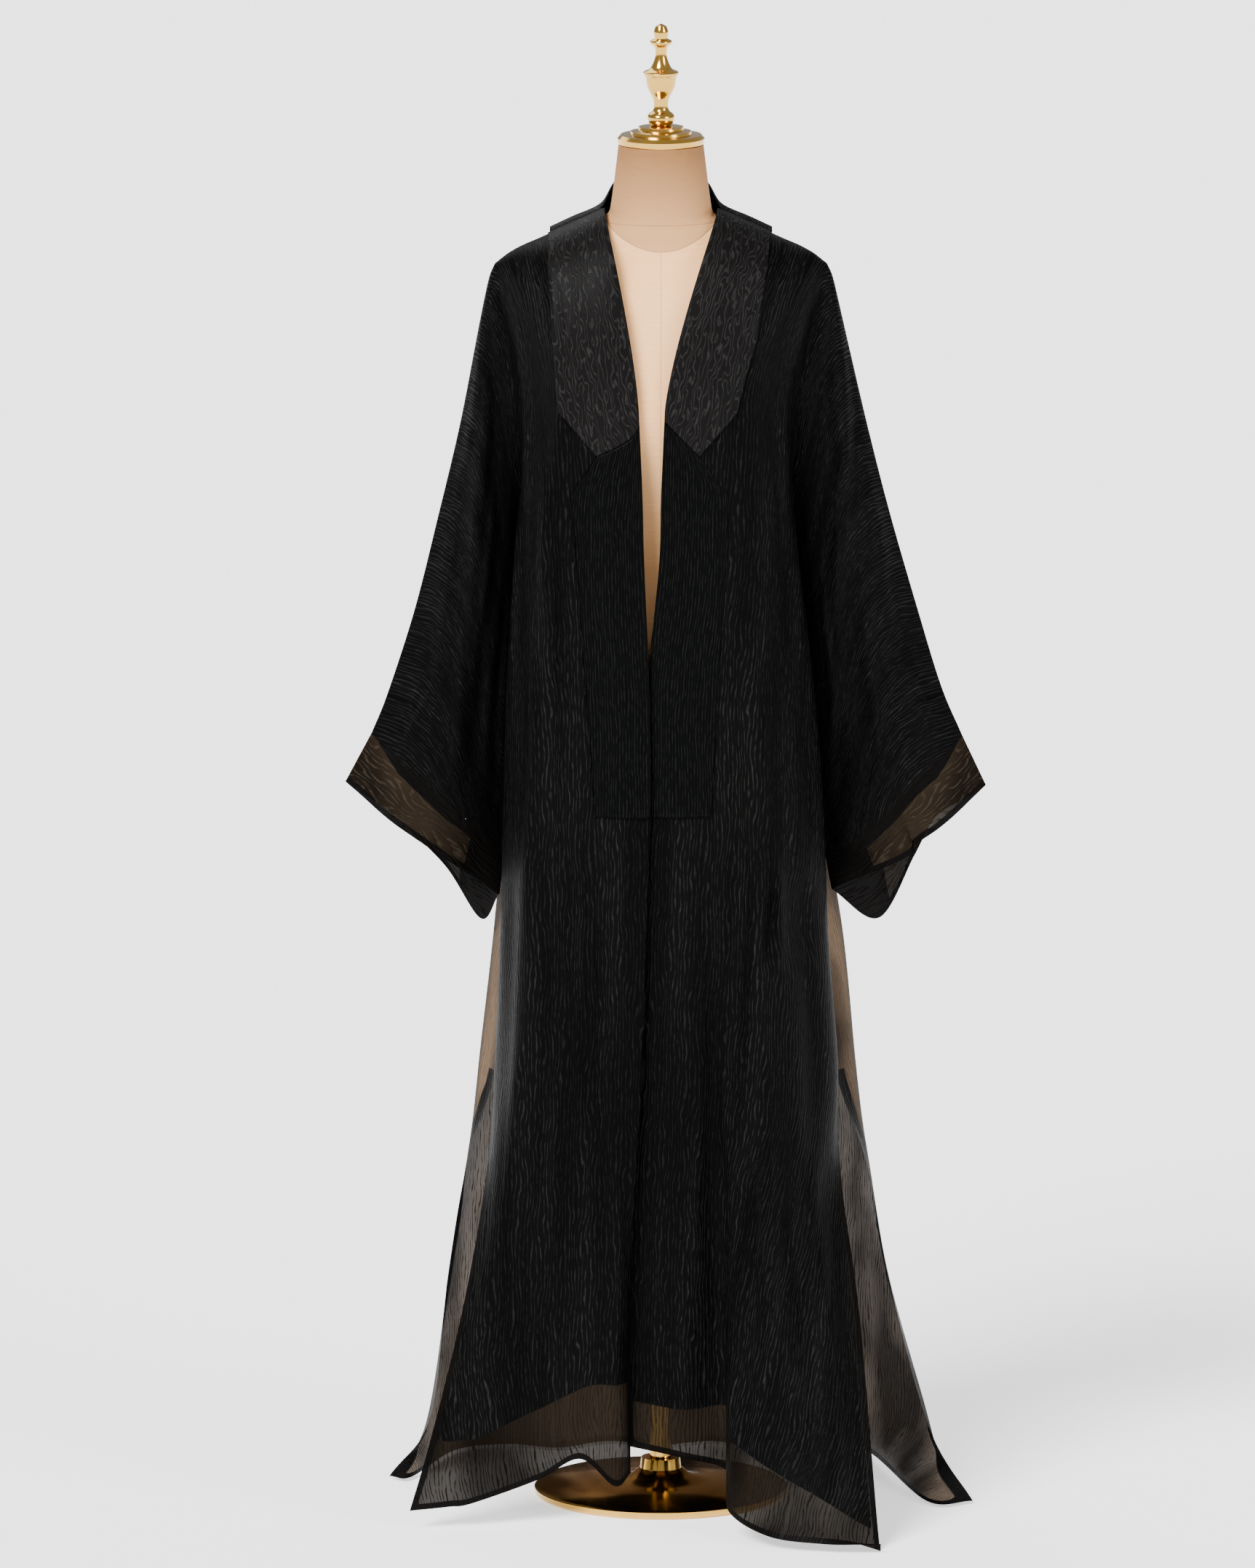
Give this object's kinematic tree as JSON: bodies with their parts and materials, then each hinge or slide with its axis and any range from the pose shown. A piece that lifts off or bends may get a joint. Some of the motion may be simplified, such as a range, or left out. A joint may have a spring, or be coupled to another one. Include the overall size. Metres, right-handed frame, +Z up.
{
  "type": "open-front abaya on a dress form",
  "caption": "Full-length open-front abaya with kimono sleeves, sheer cuff bands, flat collar and side slits, shown on a limbless dress form with a round stand.",
  "frame": {"origin": "centre of the stand's underside, on the floor", "axes": "+Z up; the front of the garment faces -Y; +X is the wearer's left"},
  "size_m": [0.7332, 0.5603, 1.704],
  "materials": {
    "organza": "crinkled semi-sheer black organza over a black lining",
    "lining": "opaque black lining",
    "facing": "doubled black organza, slightly lighter",
    "sheer": "single layer of sheer black organza",
    "linen": "cream linen cover",
    "gold": "polished gold colour"
  },
  "bodies": {
    "root": {"front_left": "organza", "front_right": "organza", "back": "organza", "lining_front_left": "lining", "lining_front_right": "lining", "lining_back": "lining", "collar_left": "facing", "collar_right": "facing", "collar_back": "facing", "band_left": "facing", "band_right": "facing", "cuff_left": "sheer", "cuff_right": "sheer", "form_torso": "linen", "form_neck": "linen", "neck_cap": "gold", "finial": "gold", "pole": "gold", "stand_base": "gold"}
  },
  "joints": []
}
